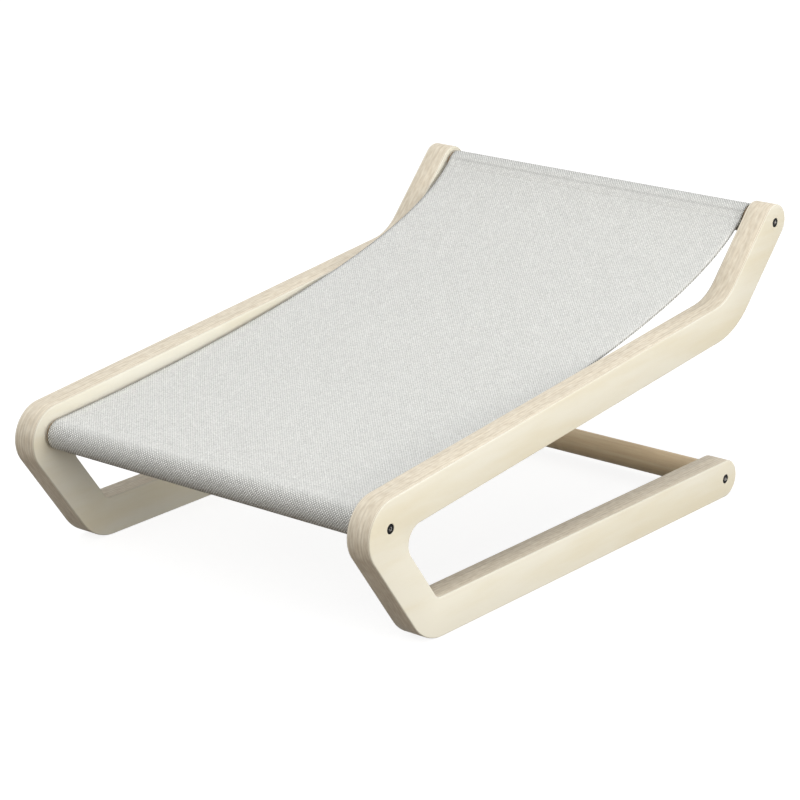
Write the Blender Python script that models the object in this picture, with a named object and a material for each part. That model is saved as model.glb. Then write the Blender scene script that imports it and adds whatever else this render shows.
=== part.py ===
"""Cat recliner: a cloth sling hung between two cross dowels, on two plywood side frames.

Each side frame is one strip of plywood cut as an open loop: a foot rail on the floor, a riser that
leans forward, an upper rail that climbs backwards and a steeper head bar. Two dowels carry the sling
in its sewn sleeves, and a third one, the rear stretcher, ties the foot rails together. Six low-head
screws pass through the side frames into threaded inserts in the ends of the dowels.

Metres, +Z up. The front is towards -Y and the head towards +Y. The origin is on the floor, in the
middle of the object's width and depth. Nothing moves, so the pieces hang from one empty.
"""

import math

import bmesh
import bpy
from mathutils import Matrix, Vector

MM = 0.001

# Overall size
overall_width = 400 * MM
overall_depth = 604 * MM
overall_height = 266 * MM

# Side frames
board_thickness = 24 * MM
strip_width = 34 * MM
foot_rail_height = 35.5 * MM
foot_end_inset = 68.5 * MM
riser_angle = math.radians(53.9)
rail_slope = math.radians(6.1)
head_bar_angle = math.radians(47.4)
front_bend_height = 107.4 * MM
front_bend_radius = 31.3 * MM
bottom_bend_radius = 45.5 * MM
opening_front_radius = 16 * MM
opening_bottom_radius = 9 * MM
head_bend_top_radius = 50 * MM
head_bend_under_radius = 76 * MM
edge_rounding = 1.2 * MM

# Dowels, and where the front one lies under the front bend
dowel_diameter = 24 * MM
dowel_chamfer = 1 * MM
front_dowel_below_rail_top = 24.6 * MM
front_dowel_behind_riser_front = 31 * MM

# Low-head socket screws
thread_diameter = 5 * MM
screw_length = 35 * MM
screw_tip_chamfer = 0.8 * MM
head_diameter = 8.5 * MM
head_height = 3.5 * MM
head_chamfer = 0.4 * MM
head_recess = 0.3 * MM
socket_across_flats = 3 * MM
socket_depth = 2 * MM
socket_drill_point = 0.6 * MM
socket_drill_step = 0.15 * MM
screw_hole_clearance = 0.3 * MM
screw_tip_clearance = 2 * MM

# Threaded inserts in the dowel ends
insert_diameter = 8 * MM
insert_length = 12 * MM
insert_rib_count = 3
insert_rib_depth = 0.5 * MM
insert_rib_foot_share = 0.7
insert_rib_crest_share = 0.2
insert_slot_width = 1.2 * MM
insert_slot_depth = 1.5 * MM

# Sling
cloth_thickness = 1.2 * MM
sling_side_gap = 4 * MM
sling_front_drop = math.radians(9.3)
sling_head_rise = math.radians(38.2)
sling_front_pull = 0.10
sling_head_pull = 0.20
sleeve_seam_reach = 7 * MM
seam_allowance = 9 * MM

# Pieces that touch on the real object keep this gap between their meshes
touch_gap = 0.3 * MM

# Fineness of the round shapes, and the least angle between two faces that stays a sharp edge
SHARP_ANGLE = math.radians(30)
ARC_STEP = math.radians(6)
ROUNDING_STEPS = 2
DOWEL_SIDES = 40
SCREW_SIDES = 24
INSERT_SIDES = 20
SLING_STATIONS = 36
SIDE_NAMES = ("left", "right")
SIDE_SIGNS = {"left": -1, "right": 1}

# Colours, as red, green and blue from 0 to 255, with roughness and metallic value
BIRCH_FACE = ((231, 222, 199), 0.55, 0.0)
BIRCH_DOWEL = ((214, 199, 172), 0.6, 0.0)
GREY_CLOTH = ((208, 209, 205), 0.95, 0.0)
BLACK_STEEL = ((28, 28, 30), 0.4, 1.0)
BRASS = ((196, 160, 90), 0.35, 1.0)


def clear_scene():
    for obj in list(bpy.data.objects):
        bpy.data.objects.remove(obj, do_unlink=True)


def linear(level):
    """A colour level from 0 to 255, as the linear value a shader takes."""
    share = level / 255
    return share / 12.92 if share <= 0.04045 else ((share + 0.055) / 1.055) ** 2.4


def material(name, look):
    levels, roughness, metallic = look
    made = bpy.data.materials.new(name)
    made.use_nodes = True
    shader = made.node_tree.nodes["Principled BSDF"]
    shader.inputs["Base Color"].default_value = (*[linear(level) for level in levels], 1)
    shader.inputs["Roughness"].default_value = roughness
    shader.inputs["Metallic"].default_value = metallic
    return made


def object_from(bm, name, look, parent=None):
    """Closes the bmesh into a named object with its faces outwards and its flat faces kept sharp."""
    bmesh.ops.recalc_face_normals(bm, faces=bm.faces)
    mesh = bpy.data.meshes.new(name)
    bm.to_mesh(mesh)
    bm.free()
    mesh.shade_smooth()
    mesh.set_sharp_from_angle(angle=SHARP_ANGLE)
    obj = bpy.data.objects.new(name, mesh)
    bpy.context.scene.collection.objects.link(obj)
    if look:
        mesh.materials.append(material(name, look))
    obj.parent = parent
    return obj


def cut(obj, cutter):
    """Takes the cutter away from the object, and keeps the cutter out of the model."""
    cutter.hide_render = True
    cutter.display_type = "WIRE"
    boolean = obj.modifiers.new("cut " + cutter.name, "BOOLEAN")
    boolean.operation = "DIFFERENCE"
    boolean.solver = "EXACT"
    boolean.object = cutter


def direction(angle):
    """The unit vector at an angle, in the side plane: first coordinate along Y, second along Z."""
    return Vector((math.cos(angle), math.sin(angle)))


def left_of(vector):
    return Vector((-vector.y, vector.x))


class Line:
    """A directed straight edge of an outline that is walked with the wood on its left."""

    def __init__(self, point, angle):
        self.point = point
        self.angle = angle

    def moved_left(self, distance):
        return Line(self.point + left_of(direction(self.angle)) * distance, self.angle)

    def turned_back(self):
        return Line(self.point, self.angle + math.pi)

    def meet(self, other):
        along, across = direction(self.angle), left_of(direction(other.angle))
        reach = (other.point - self.point).dot(across) / along.dot(across)
        return self.point + along * reach


class Arc:
    """A round stretch of an outline. A hollow one has its centre outside the wood."""

    def __init__(self, centre, radius, start, turn):
        self.centre = centre
        self.radius = radius
        self.start = start
        self.turn = turn

    def points(self, inset):
        radius = self.radius - math.copysign(inset, self.turn)
        steps = max(2, math.ceil(abs(self.turn) / ARC_STEP))
        return [
            self.centre + direction(self.start + self.turn * step / steps) * radius
            for step in range(steps + 1)
        ]


def corner(line, following, radius):
    """The arc that joins two lines of an outline."""
    turn = (following.angle - line.angle + math.pi) % math.tau - math.pi
    side = math.copysign(1, turn)
    centre = line.moved_left(side * radius).meet(following.moved_left(side * radius))
    return Arc(centre, radius, line.angle - side * math.pi / 2, turn)


def round_end(centre, radius, angle):
    """The half circle at the end of a strip that runs at this angle."""
    return Arc(centre, radius, angle - math.pi / 2, math.pi)


def side_view():
    """The lines of the side frame's outline and the centres of the three dowels, in the side plane."""
    half_depth = overall_depth / 2
    bend = Vector((-half_depth + front_bend_radius, front_bend_height))
    rail_top = Line(bend, math.pi + rail_slope).moved_left(-front_bend_radius)
    riser_front = Line(bend, -riser_angle).moved_left(-front_bend_radius)
    head = Vector((half_depth - strip_width / 2, overall_height - strip_width / 2))
    rear = Vector((half_depth - foot_end_inset - foot_rail_height / 2, foot_rail_height / 2))
    front = rail_top.moved_left(front_dowel_below_rail_top).meet(
        riser_front.moved_left(front_dowel_behind_riser_front)
    )
    head_back = Line(head, head_bar_angle).moved_left(-strip_width / 2)
    head_front = Line(head, math.pi + head_bar_angle).moved_left(-strip_width / 2)
    lines = {
        "foot_bottom": Line(Vector((0, 0)), 0),
        "foot_top": Line(Vector((0, foot_rail_height)), math.pi),
        "riser_inside": riser_front.moved_left(strip_width).turned_back(),
        "rail_under": rail_top.moved_left(strip_width).turned_back(),
        "head_back": head_back,
        "head_front": head_front,
        "rail_top": rail_top,
        "riser_front": riser_front,
    }
    return lines, {"front": front, "head": head, "rear": rear}


def frame_arcs():
    """The round stretches of the side frame, in order. Straight edges run from each to the next."""
    lines, centres = side_view()
    return [
        round_end(centres["rear"], foot_rail_height / 2, 0),
        corner(lines["foot_top"], lines["riser_inside"], opening_bottom_radius),
        corner(lines["riser_inside"], lines["rail_under"], opening_front_radius),
        corner(lines["rail_under"], lines["head_back"], head_bend_under_radius),
        round_end(centres["head"], strip_width / 2, head_bar_angle),
        corner(lines["head_front"], lines["rail_top"], head_bend_top_radius),
        corner(lines["rail_top"], lines["riser_front"], front_bend_radius),
        corner(lines["riser_front"], lines["foot_bottom"], bottom_bend_radius),
    ]


def loop_of(bm, points, x):
    return [bm.verts.new((x, point.x, point.y)) for point in points]


def join_loops(bm, first, second):
    count = len(first)
    for i in range(count):
        j = (i + 1) % count
        bm.faces.new((first[i], first[j], second[j], second[i]))


def cap(bm, loops):
    """Closes a flat end bounded by these loops, the first of them outside and the others holes."""
    edges = [bm.edges.get((loop[i], loop[i - 1])) for loop in loops for i in range(len(loop))]
    bmesh.ops.triangle_fill(bm, use_beauty=True, edges=edges)


def side_frame(side, root):
    """One strip of plywood with softly rounded edges, and a stepped hole for each screw."""
    bm = bmesh.new()
    arcs = frame_arcs()
    quarter = [math.pi / 2 * step / ROUNDING_STEPS for step in range(ROUNDING_STEPS + 1)]
    rounding = [(edge_rounding * (1 - math.sin(a)), edge_rounding * (1 - math.cos(a))) for a in quarter]
    half = board_thickness / 2
    sections = [(half - into, inset) for inset, into in rounding]
    sections += [(-x, inset) for x, inset in reversed(sections)]
    loops = []
    for x, inset in sections:
        points = [point for arc in arcs for point in arc.points(inset)]
        loops.append(loop_of(bm, points, x))
    for first, second in zip(loops, loops[1:]):
        join_loops(bm, first, second)
    cap(bm, [loops[0]])
    cap(bm, [loops[-1]])
    frame = object_from(bm, side + "_side_frame", BIRCH_FACE, root)
    frame.location.x = SIDE_SIGNS[side] * (overall_width - board_thickness) / 2
    cut(frame, screw_holes(side, root))
    return frame


def add_turned(bm, rings, sides, at, closed=False):
    """Adds rings about the X axis, as (x, radius, hexagonal), and joins them. A radius of 0 is a point."""
    made = []
    for x, radius, hexagonal in rings:
        if radius == 0:
            made.append([bm.verts.new(at(x, 0, 0))])
            continue
        ring = []
        for i in range(sides):
            angle = math.tau * i / sides
            reach = radius
            if hexagonal:
                reach = radius / math.cos(angle % (math.pi / 3) - math.pi / 6)
            ring.append(bm.verts.new(at(x, reach * math.cos(angle), reach * math.sin(angle))))
        made.append(ring)
    pairs = list(zip(made, made[1:]))
    if closed:
        pairs.append((made[-1], made[0]))
    for first, second in pairs:
        if len(first) == 1 or len(second) == 1:
            tip, ring = (first[0], second) if len(first) == 1 else (second[0], first)
            for i in range(sides):
                bm.faces.new((tip, ring[i], ring[(i + 1) % sides]))
        else:
            join_loops(bm, first, second)


def beside_outer_face(side, centre, origin=Vector((0, 0, 0))):
    """Turns (depth below the side frame's outer face, y, z) about a dowel's centre into a point."""
    face = SIDE_SIGNS[side] * overall_width / 2

    def at(depth, y, z):
        x = face - SIDE_SIGNS[side] * depth
        return Vector((x, centre.x + y, centre.y + z)) - origin

    return at


def counterbore_depth():
    return head_recess + head_height + touch_gap


def screw_holes(side, root):
    """The three stepped holes of a side frame, as a cutter in the frame's own place."""
    bm = bmesh.new()
    overrun = 5 * MM
    wide = head_diameter / 2 + screw_hole_clearance
    narrow = thread_diameter / 2 + screw_hole_clearance
    rings = [
        (-overrun, 0, False),
        (-overrun, wide, False),
        (counterbore_depth(), wide, False),
        (counterbore_depth(), narrow, False),
        (board_thickness + overrun, narrow, False),
        (board_thickness + overrun, 0, False),
    ]
    for centre in side_view()[1].values():
        add_turned(bm, rings, SCREW_SIDES, beside_outer_face(side, centre))
    return object_from(bm, side + "_screw_holes", None, root)


def screw(side, place, centre, root):
    """A low-head socket screw, its head just below the outer face. Its origin is its head's centre."""
    bm = bmesh.new()
    top = head_recess
    under = top + head_height
    tip = under + screw_length
    radius, shank = head_diameter / 2, thread_diameter / 2
    flat = socket_across_flats / 2
    rings = [
        (top + socket_depth + socket_drill_point, 0, False),
        (top + socket_depth, flat - socket_drill_step, False),
        (top + socket_depth, flat, True),
        (top, flat, True),
        (top, radius - head_chamfer, False),
        (top + head_chamfer, radius, False),
        (under, radius, False),
        (under, shank, False),
        (tip - screw_tip_chamfer, shank, False),
        (tip, shank - screw_tip_chamfer, False),
        (tip, 0, False),
    ]
    origin = Vector((SIDE_SIGNS[side] * overall_width / 2, centre.x, centre.y))
    add_turned(bm, rings, SCREW_SIDES, beside_outer_face(side, centre, origin))
    made = object_from(bm, f"screw_{side}_{place}", BLACK_STEEL, root)
    made.location = origin
    return made


def insert_depth():
    """How far below the outer face a threaded insert starts."""
    return board_thickness + 2 * touch_gap


def threaded_insert(side, place, centre, root):
    """A ribbed brass sleeve in the end of a dowel, with a slot that a screwdriver turns."""
    bm = bmesh.new()
    start = insert_depth()
    outer = insert_diameter / 2
    root_radius = outer - insert_rib_depth
    bore = thread_diameter / 2 + screw_hole_clearance
    rib_pitch = insert_length / (insert_rib_count + 1)
    half_foot = rib_pitch * insert_rib_foot_share / 2
    half_crest = rib_pitch * insert_rib_crest_share / 2
    rings = [(start, bore, False), (start, root_radius, False)]
    for rib in range(insert_rib_count):
        crest = start + rib_pitch * (rib + 1)
        rings += [
            (crest - half_foot, root_radius, False),
            (crest - half_crest, outer, False),
            (crest + half_crest, outer, False),
            (crest + half_foot, root_radius, False),
        ]
    rings += [(start + insert_length, root_radius, False), (start + insert_length, bore, False)]
    origin = Vector((SIDE_SIGNS[side] * overall_width / 2, centre.x, centre.y))
    at = beside_outer_face(side, centre, origin)
    add_turned(bm, rings, INSERT_SIDES, at, closed=True)
    made = object_from(bm, f"insert_{side}_{place}", BRASS, root)
    made.location = origin
    cut(made, slot_cutter(side, place, start, at, origin, root))
    return made


def slot_cutter(side, place, start, at, origin, root):
    """A bar across the insert's outer end."""
    bm = bmesh.new()
    bmesh.ops.create_cube(bm, size=1)
    reach = insert_diameter
    size = Vector((2 * insert_slot_depth, insert_slot_width, 2 * reach))
    bmesh.ops.transform(bm, matrix=Matrix.Diagonal((*size, 1)), verts=bm.verts)
    bmesh.ops.translate(bm, vec=at(start, 0, 0), verts=bm.verts)
    cutter = object_from(bm, f"insert_slot_{side}_{place}", None, root)
    cutter.location = origin
    return cutter


def dowel(name, centre, root):
    """A round bar between the side frames, bored at each end for its insert and screw tip."""
    bm = bmesh.new()
    end = overall_width / 2 - board_thickness - touch_gap
    radius = dowel_diameter / 2
    insert_bore = insert_diameter / 2 + touch_gap
    tip_bore = thread_diameter / 2 + screw_hole_clearance
    insert_floor = end - insert_length - 2 * touch_gap
    tip = overall_width / 2 - head_recess - head_height - screw_length
    tip_floor = min(tip, insert_floor) - screw_tip_clearance
    half = [
        (tip_floor, 0, False),
        (tip_floor, tip_bore, False),
        (insert_floor, tip_bore, False),
        (insert_floor, insert_bore, False),
        (end, insert_bore, False),
        (end, radius - dowel_chamfer, False),
        (end - dowel_chamfer, radius, False),
    ]
    rings = half + [(-x, r, hexagonal) for x, r, hexagonal in reversed(half)]
    add_turned(bm, rings, DOWEL_SIDES, lambda x, y, z: (x, y, z))
    made = object_from(bm, name, BIRCH_DOWEL, root)
    made.location = (0, centre.x, centre.y)
    return made


class Sheet:
    """The middle of the sling's cloth between its two dowels, as a curve in the side plane."""

    def __init__(self, front, head):
        wrap = dowel_diameter / 2 + touch_gap + cloth_thickness / 2
        chord = head - front
        slope = math.atan2(chord.y, chord.x)
        self.front_slope = slope - sling_front_drop
        self.head_slope = slope + sling_head_rise
        start = front + left_of(direction(self.front_slope)) * wrap
        finish = head + left_of(direction(self.head_slope)) * wrap
        reach = (finish - start).length
        pulls = [
            start,
            start + direction(self.front_slope) * reach * sling_front_pull,
            finish - direction(self.head_slope) * reach * sling_head_pull,
            finish,
        ]
        fine = 400
        self.path = [self.bezier(pulls, i / fine) for i in range(fine + 1)]
        self.lengths = [0.0]
        for first, second in zip(self.path, self.path[1:]):
            self.lengths.append(self.lengths[-1] + (second - first).length)
        self.length = self.lengths[-1]

    @staticmethod
    def bezier(pulls, t):
        weights = ((1 - t) ** 3, 3 * (1 - t) ** 2 * t, 3 * (1 - t) * t * t, t**3)
        return sum((pull * weight for pull, weight in zip(pulls, weights)), Vector((0, 0)))

    def at(self, distance, height):
        """The point this far along the cloth, and this far above its middle."""
        i = 0
        while i < len(self.lengths) - 2 and self.lengths[i + 1] < distance:
            i += 1
        step = self.path[i + 1] - self.path[i]
        point = self.path[i] + step.normalized() * (distance - self.lengths[i])
        return point + left_of(step.normalized()) * height


def angle_of(vector):
    return math.atan2(vector.y, vector.x)


def arc_between(centre, radius, start, turn):
    steps = max(2, math.ceil(abs(turn) / ARC_STEP))
    return [centre + direction(start + turn * i / steps) * radius for i in range(steps + 1)]


def sleeve(sheet, centre, slope, at_head):
    """Where the cloth wraps a dowel: its outer arc, the fold's corner at the seam, and its inside."""
    side = -1 if at_head else 1
    inside = dowel_diameter / 2 + touch_gap
    seam = sheet.length - sleeve_seam_reach if at_head else sleeve_seam_reach
    half = cloth_thickness / 2
    leaves = slope + math.pi / 2
    seam_point = sheet.at(seam, -half)
    toward_seam = angle_of(seam_point - centre)
    turn = 2 * (toward_seam - leaves) % (side * math.tau)
    outer = arc_between(centre, inside + cloth_thickness, leaves, turn)
    inner = arc_between(centre, inside, leaves, turn)
    layer = Line(outer[-1], angle_of(seam_point - inner[-1]))
    under = sheet.at(seam, -half - cloth_thickness)
    ahead = sheet.at(seam - side * half, -half - cloth_thickness)
    fold = layer.meet(Line(under, angle_of(under - ahead)))
    return outer, fold, inner + [seam_point]


def sling(centres, root):
    """One panel of cloth, with each end folded under round its dowel and sewn to the panel."""
    sheet = Sheet(centres["front"], centres["head"])
    front = sleeve(sheet, centres["front"], sheet.front_slope, at_head=False)
    head = sleeve(sheet, centres["head"], sheet.head_slope, at_head=True)
    half = cloth_thickness / 2
    hem = sleeve_seam_reach + seam_allowance
    stations = [sheet.length * i / SLING_STATIONS for i in range(1, SLING_STATIONS)]
    between = [d for d in stations if hem < d < sheet.length - hem]
    outline = list(reversed(front[0]))
    outline += [sheet.at(d, half) for d in stations]
    outline += head[0]
    outline += [head[1], sheet.at(sheet.length - hem, -half - cloth_thickness)]
    outline += [sheet.at(sheet.length - hem, -half)]
    outline += [sheet.at(d, -half) for d in reversed(between)]
    outline += [sheet.at(hem, -half), sheet.at(hem, -half - cloth_thickness), front[1]]
    reach = overall_width / 2 - board_thickness - sling_side_gap
    bm = bmesh.new()
    sections = [outline, front[2], head[2]]
    ends = [[loop_of(bm, points, x) for points in sections] for x in (-reach, reach)]
    for left, right in zip(*ends):
        join_loops(bm, left, right)
    for loops in ends:
        cap(bm, loops)
    return object_from(bm, "sling", GREY_CLOTH, root)


def build():
    clear_scene()
    root = bpy.data.objects.new("recliner", None)
    bpy.context.scene.collection.objects.link(root)
    centres = side_view()[1]
    dowel("front_dowel", centres["front"], root)
    dowel("head_dowel", centres["head"], root)
    dowel("rear_stretcher", centres["rear"], root)
    sling(centres, root)
    for side in SIDE_NAMES:
        side_frame(side, root)
        for place, centre in centres.items():
            screw(side, place, centre, root)
            threaded_insert(side, place, centre, root)


build()
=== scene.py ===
# %% [markdown]
# # A cat recliner in plywood and cloth
#
# A low lounger for one cat: a grey woven sling hangs between two side frames of birch plywood, over
# two round bars that are sewn into its ends. A third bar ties the foot rails together behind.
#
# The lesson dresses a finished CAD model, which says where each piece is. The cells below set up sizes,
# the view and shared patterns, then make each piece with its finish, and last the studio. All lengths
# are metres, +Z is up and the low front end is towards -Y.

import math

import bmesh
import bpy
from mathutils import Matrix, Vector


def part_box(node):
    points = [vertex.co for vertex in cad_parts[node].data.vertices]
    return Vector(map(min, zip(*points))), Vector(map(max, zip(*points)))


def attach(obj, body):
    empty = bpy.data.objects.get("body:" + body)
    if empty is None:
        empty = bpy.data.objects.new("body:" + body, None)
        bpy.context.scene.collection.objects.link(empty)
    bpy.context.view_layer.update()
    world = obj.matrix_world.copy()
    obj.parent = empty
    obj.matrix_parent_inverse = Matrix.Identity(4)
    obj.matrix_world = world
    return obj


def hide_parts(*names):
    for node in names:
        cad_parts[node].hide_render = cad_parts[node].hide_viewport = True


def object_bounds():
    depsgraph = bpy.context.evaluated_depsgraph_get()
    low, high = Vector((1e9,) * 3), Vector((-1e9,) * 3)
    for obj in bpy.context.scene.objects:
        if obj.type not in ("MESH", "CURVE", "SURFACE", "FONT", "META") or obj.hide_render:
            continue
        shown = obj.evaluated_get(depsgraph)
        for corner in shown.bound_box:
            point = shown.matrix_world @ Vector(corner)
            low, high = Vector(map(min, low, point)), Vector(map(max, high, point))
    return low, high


MM = 0.001
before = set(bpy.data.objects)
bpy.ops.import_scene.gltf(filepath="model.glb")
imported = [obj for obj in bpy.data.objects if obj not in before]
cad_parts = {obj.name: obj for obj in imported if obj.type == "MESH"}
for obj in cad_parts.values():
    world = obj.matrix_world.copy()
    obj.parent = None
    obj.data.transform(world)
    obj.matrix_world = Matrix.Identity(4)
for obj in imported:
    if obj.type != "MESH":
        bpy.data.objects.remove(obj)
cad_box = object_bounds()
print(len(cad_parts), "pieces in the frame, from", tuple(cad_box[0]), "to", tuple(cad_box[1]))

# %% [markdown]
# ## Sizes
#
# A piece that replaces a CAD solid has to lie exactly where that solid lies. So the large sizes and the
# bars' places are measured on the frame. Only the side frame's outline, the bores and small parts and
# the cloth have their sizes written here, with the same values as in the drawing of the CAD model.

# %% Measure the frame
overall_depth = cad_box[1].y - cad_box[0].y
overall_height = cad_box[1].z - cad_box[0].z
outer_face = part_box("right_side_frame")[1].x
inner_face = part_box("right_side_frame")[0].x
board_thickness = outer_face - inner_face
cloth_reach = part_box("sling")[1].x
bar_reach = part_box("front_dowel")[1].x
bar_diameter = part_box("rear_stretcher")[1].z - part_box("rear_stretcher")[0].z
BAR_NODES = {"front": "front_dowel", "head": "head_dowel", "rear": "rear_stretcher"}
SIDE_SIGNS = {"left": -1, "right": 1}


def centre_of(node):
    """The middle of a CAD node in the side plane: first coordinate along Y, second along Z."""
    lowest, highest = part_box(node)
    return Vector(((lowest.y + highest.y) / 2, (lowest.z + highest.z) / 2))


bar_centres = {place: centre_of(node) for place, node in BAR_NODES.items()}
print("board", round(board_thickness / MM, 2), "mm, bars", round(bar_diameter / MM, 2), "mm")

# %% The drawing's sizes
strip_width = 34 * MM
foot_rail_height = 35.5 * MM
riser_angle = math.radians(53.9)
rail_slope = math.radians(6.1)
head_bar_angle = math.radians(47.4)
front_bend_height = 107.4 * MM
front_bend_radius = 31.3 * MM
bottom_bend_radius = 45.5 * MM
opening_front_radius = 16 * MM
opening_bottom_radius = 9 * MM
head_bend_top_radius = 50 * MM
head_bend_under_radius = 76 * MM
edge_rounding = 1.2 * MM

bar_chamfer = 1 * MM
thread_diameter = 5 * MM
screw_length = 35 * MM
head_diameter = 8.5 * MM
head_height = 3.5 * MM
head_recess = 0.3 * MM
socket_across_flats = 3 * MM
socket_depth = 2 * MM
screw_hole_clearance = 0.3 * MM
screw_tip_clearance = 2 * MM
insert_diameter = 8 * MM
insert_length = 12 * MM

cloth_thickness = 1.2 * MM
front_drop = math.radians(9.3)
head_rise = math.radians(38.2)
front_pull = 0.10
head_pull = 0.20
seam_reach = 7 * MM
seam_allowance = 9 * MM
touch_gap = 0.3 * MM

# %% [markdown]
# ## The view
#
# The photograph was taken with a long lens from the right front, a little above the object. The camera
# comes from a fit of the CAD model's edges to the photograph's, so it needs no shift.

# %% Camera and colour
scene = bpy.context.scene
scene.view_settings.view_transform = "Standard"

camera_azimuth = math.radians(39.048)
camera_elevation = math.radians(18.221)
camera_roll = math.radians(-0.092)
camera_place = Vector((1.5305, -1.9040, 0.9133))
sensor_width_mm = 36
lens_mm = 128.0


def outward(azimuth, elevation):
    """The unit vector towards a viewer or a lamp at this azimuth and elevation."""
    flat = math.cos(elevation)
    return Vector((math.sin(azimuth) * flat, -math.cos(azimuth) * flat, math.sin(elevation)))


def aimed(place, back, roll=0.0):
    """The matrix of a camera or lamp at a place, with its back turned to a direction."""
    right = Vector((0, 0, 1)).cross(back).normalized()
    turn = Matrix((right, back.cross(right), back)).transposed().to_4x4()
    return Matrix.Translation(place) @ turn @ Matrix.Rotation(roll, 4, "Z")


lens = bpy.data.cameras.new("photo_camera")
lens.sensor_width = sensor_width_mm
lens.lens = lens_mm
lens.clip_start = 0.1
lens.clip_end = 50
camera = bpy.data.objects.new("photo_camera", lens)
camera.matrix_world = aimed(camera_place, outward(camera_azimuth, camera_elevation), camera_roll)
scene.collection.objects.link(camera)
scene.camera = camera
print("camera at", tuple(round(c, 3) for c in camera_place))

# %% [markdown]
# ## A short way to write node trees
#
# A node tree in Python soon becomes a long list of nodes and links. Two small classes shorten it. A
# `Graph` adds nodes and feeds their inputs, and a `Wire` is one output: adding or multiplying wires adds
# Math nodes, so a formula reads as a formula. Both serve shader trees and Geometry Nodes trees.


# %% Wires and graphs
class Wire:
    """One output in a node tree. Arithmetic on it adds Math nodes."""

    def __init__(self, graph, socket):
        self.graph = graph
        self.socket = socket

    def __add__(self, other):
        return self.graph.math("ADD", self, other)

    def __sub__(self, other):
        return self.graph.math("SUBTRACT", self, other)

    def __rsub__(self, other):
        return self.graph.math("SUBTRACT", other, self)

    def __mul__(self, other):
        return self.graph.math("MULTIPLY", self, other)

    def __truediv__(self, other):
        return self.graph.math("DIVIDE", self, other)

    __radd__ = __add__
    __rmul__ = __mul__


class Graph:
    """Adds nodes to one tree. An input takes a plain value or a wire."""

    def __init__(self, tree):
        self.tree = tree

    def put(self, kind, inputs=None, **settings):
        node = self.tree.nodes.new(kind)
        for name, value in settings.items():
            setattr(node, name, value)
        for key, value in (inputs or {}).items():
            self.feed(node.inputs[key], value)
        return node

    def feed(self, socket, value):
        if isinstance(value, Wire):
            self.tree.links.new(value.socket, socket)
        else:
            socket.default_value = value

    def wire(self, kind, inputs=None, output=0, **settings):
        return Wire(self, self.put(kind, inputs, **settings).outputs[output])

    def math(self, operation, *values):
        return self.wire("ShaderNodeMath", dict(enumerate(values)), operation=operation)

    def vector_math(self, operation, *values, output=0):
        return self.wire("ShaderNodeVectorMath", dict(enumerate(values)), output, operation=operation)

    def vector(self, x=0.0, y=0.0, z=0.0):
        return self.wire("ShaderNodeCombineXYZ", {0: x, 1: y, 2: z})

    def split(self, vector):
        return [Wire(self, socket) for socket in self.put("ShaderNodeSeparateXYZ", {0: vector}).outputs]

    def smooth(self, value, start, end, low=0.0, high=1.0):
        """Goes smoothly from low to high as the value goes from start to end."""
        inputs = {0: value, 1: start, 2: end, 3: low, 4: high}
        return self.wire("ShaderNodeMapRange", inputs, interpolation_type="SMOOTHSTEP")

    def mix(self, factor, first, second):
        """A colour between two colours."""
        inputs = {0: factor, 6: first, 7: second}
        return self.wire("ShaderNodeMix", inputs, output=2, data_type="RGBA")

    def shade(self, colour, share):
        """A colour made darker or lighter by a share, where 1 leaves it as it is."""
        return self.vector_math("MULTIPLY", colour, self.vector(share, share, share))

    def noise(self, vector, detail=2.0, roughness=0.5):
        return self.wire("ShaderNodeTexNoise", {"Vector": vector, "Scale": 1.0, "Detail": detail,
                                                "Roughness": roughness})

    def use(self, tree, inputs):
        """Places a node group and returns its outputs by name."""
        node = self.put("ShaderNodeGroup", node_tree=tree)
        for key, value in inputs.items():
            self.feed(node.inputs[key], value)
        return {socket.name: Wire(self, socket) for socket in node.outputs}


def new_group(tree_kind, name, inputs, outputs):
    """A node group with named inputs and outputs: its tree, its graph, what it is given, its end."""
    tree = bpy.data.node_groups.new(name, tree_kind)
    for label, (socket_kind, default) in inputs.items():
        item = tree.interface.new_socket(label, in_out="INPUT", socket_type=socket_kind)
        if default is not None:
            item.default_value = default
    for label, socket_kind in outputs.items():
        tree.interface.new_socket(label, in_out="OUTPUT", socket_type=socket_kind)
    graph = Graph(tree)
    start, end = graph.put("NodeGroupInput"), graph.put("NodeGroupOutput")
    given = {label: Wire(graph, start.outputs[label]) for label in inputs}
    return tree, graph, given, end


def give_out(graph, end, results):
    """Joins a group's results to its outputs by name."""
    for label, value in results.items():
        graph.feed(end.inputs[label], value)


def finished(graph, shape, material):
    """The last steps of a Geometry Nodes tree: copies become real faces, and all get their material."""
    solid = graph.wire("GeometryNodeRealizeInstances", {0: shape})
    return graph.wire("GeometryNodeSetMaterial", {0: solid, "Material": material})


NUMBER = "NodeSocketFloat"
VECTOR = "NodeSocketVector"
SHAPE = "NodeSocketGeometry"

# %% [markdown]
# ## Patterns that the finishes share
#
# Wood grain and handling marks turn up in more than one finish, so each is a node group with its sizes
# as inputs. The weave serves one finish, but as a group it keeps its long formula out of the canvas. A
# group gives out only what varies over the surface: masks, tones and heights.


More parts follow.
